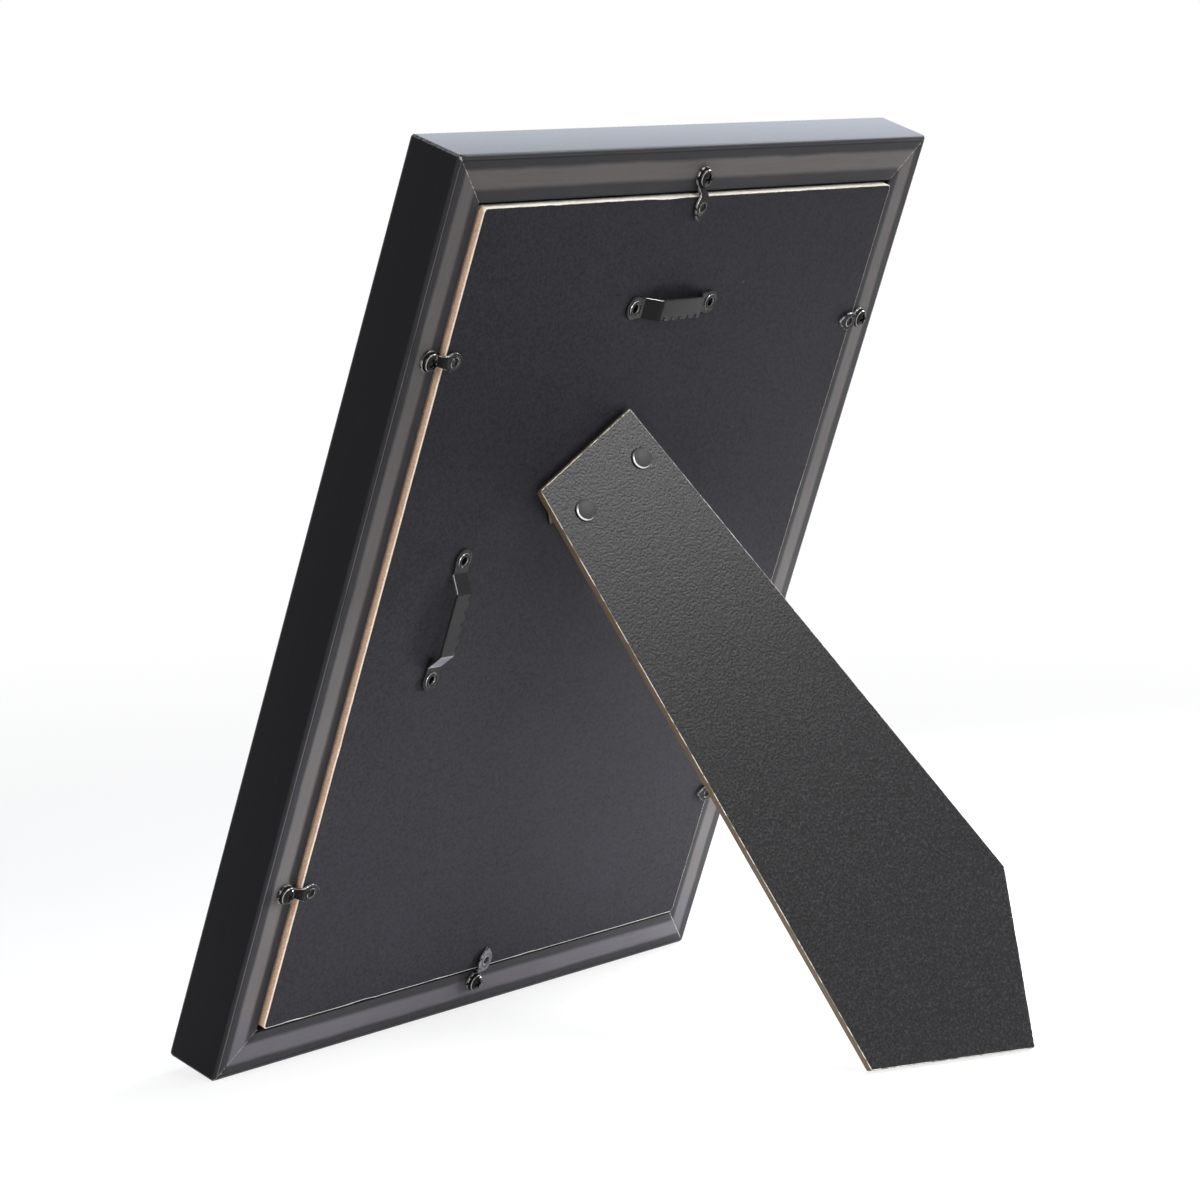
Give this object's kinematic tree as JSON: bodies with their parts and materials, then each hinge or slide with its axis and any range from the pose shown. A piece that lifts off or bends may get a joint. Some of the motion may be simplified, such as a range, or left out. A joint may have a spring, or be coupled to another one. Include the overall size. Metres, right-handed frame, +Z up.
{
  "type": "easel back photo frame",
  "caption": "Black mitred picture frame standing on a folding easel strut, with a backing board held by turn buttons and sawtooth hangers for both directions.",
  "frame": {"origin": "on the floor, under the middle of the box round the whole stand", "axes": "+Z up from the floor, +Y out behind the frame towards the strut's foot, +X to the left of someone who looks at the back; the picture faces -Y"},
  "size_m": [0.236, 0.1896, 0.2749],
  "materials": {
    "moulding": "black stain and foil wrap, satin, worn bare along the back",
    "nail_steel": "bare",
    "clear_glazing": "polished",
    "insert_paper": "plain, matt",
    "filler_board": "raw greyboard",
    "back_board": "fibreboard faced with dark grey paper, raw tan edges",
    "strut_board": "fibreboard faced with grained dark grey paper, raw tan edges",
    "black_steel": "gloss black",
    "eyelet_steel": "black, rubbed bright on the rims",
    "pin_steel": "drawn wire",
    "rivet_steel": "dark grey, satin",
    "screw_steel": "black, rubbed bright on the rims"
  },
  "bodies": {
    "frame": {"top_rail": "moulding", "bottom_rail": "moulding", "left_rail": "moulding", "right_rail": "moulding", "corner_nails": "nail_steel", "glazing": "clear_glazing", "insert_sheet": "insert_paper", "filler_card": "filler_board", "backing_board": "back_board", "top_hanger": "black_steel", "side_hanger": "black_steel", "hanger_eyelets": "eyelet_steel", "hinge_bracket": "black_steel", "bracket_rivets": "rivet_steel", "hinge_pin": "pin_steel", "button_screws": "screw_steel"},
    "strut": {"strut_board": "strut_board", "hinge_leaf": "black_steel", "strut_rivets": "rivet_steel"},
    "button_top": {"turn_button_top": "black_steel"},
    "button_bottom": {"turn_button_bottom": "black_steel"},
    "button_left_upper": {"turn_button_left_upper": "black_steel"},
    "button_left_lower": {"turn_button_left_lower": "black_steel"},
    "button_right_upper": {"turn_button_right_upper": "black_steel"},
    "button_right_lower": {"turn_button_right_lower": "black_steel"}
  },
  "joints": [
    {"name": "strut_fold", "type": "hinge", "parent": "frame", "child": "strut", "pos_m": [0.0204, -0.01215, 0.17267], "axis": [-0.8261, 0.1824, 0.5332], "range_deg": [0, 46.8]},
    {"name": "turn_top", "type": "hinge", "parent": "frame", "child": "button_top", "pos_m": [0, 0.01147, 0.26024], "axis": [0, 0.9461, -0.3238], "continuous": true},
    {"name": "turn_bottom", "type": "hinge", "parent": "frame", "child": "button_bottom", "pos_m": [0, -0.07458, 0.00876], "axis": [0, 0.9461, -0.3238], "continuous": true},
    {"name": "turn_left_upper", "type": "hinge", "parent": "frame", "child": "button_left_upper", "pos_m": [0.1084, -0.00484, 0.21256], "axis": [0, 0.9461, -0.3238], "continuous": true},
    {"name": "turn_left_lower", "type": "hinge", "parent": "frame", "child": "button_left_lower", "pos_m": [0.1084, -0.05826, 0.05645], "axis": [0, 0.9461, -0.3238], "continuous": true},
    {"name": "turn_right_upper", "type": "hinge", "parent": "frame", "child": "button_right_upper", "pos_m": [-0.1084, -0.00484, 0.21256], "axis": [0, 0.9461, -0.3238], "continuous": true},
    {"name": "turn_right_lower", "type": "hinge", "parent": "frame", "child": "button_right_lower", "pos_m": [-0.1084, -0.05826, 0.05645], "axis": [0, 0.9461, -0.3238], "continuous": true}
  ]
}
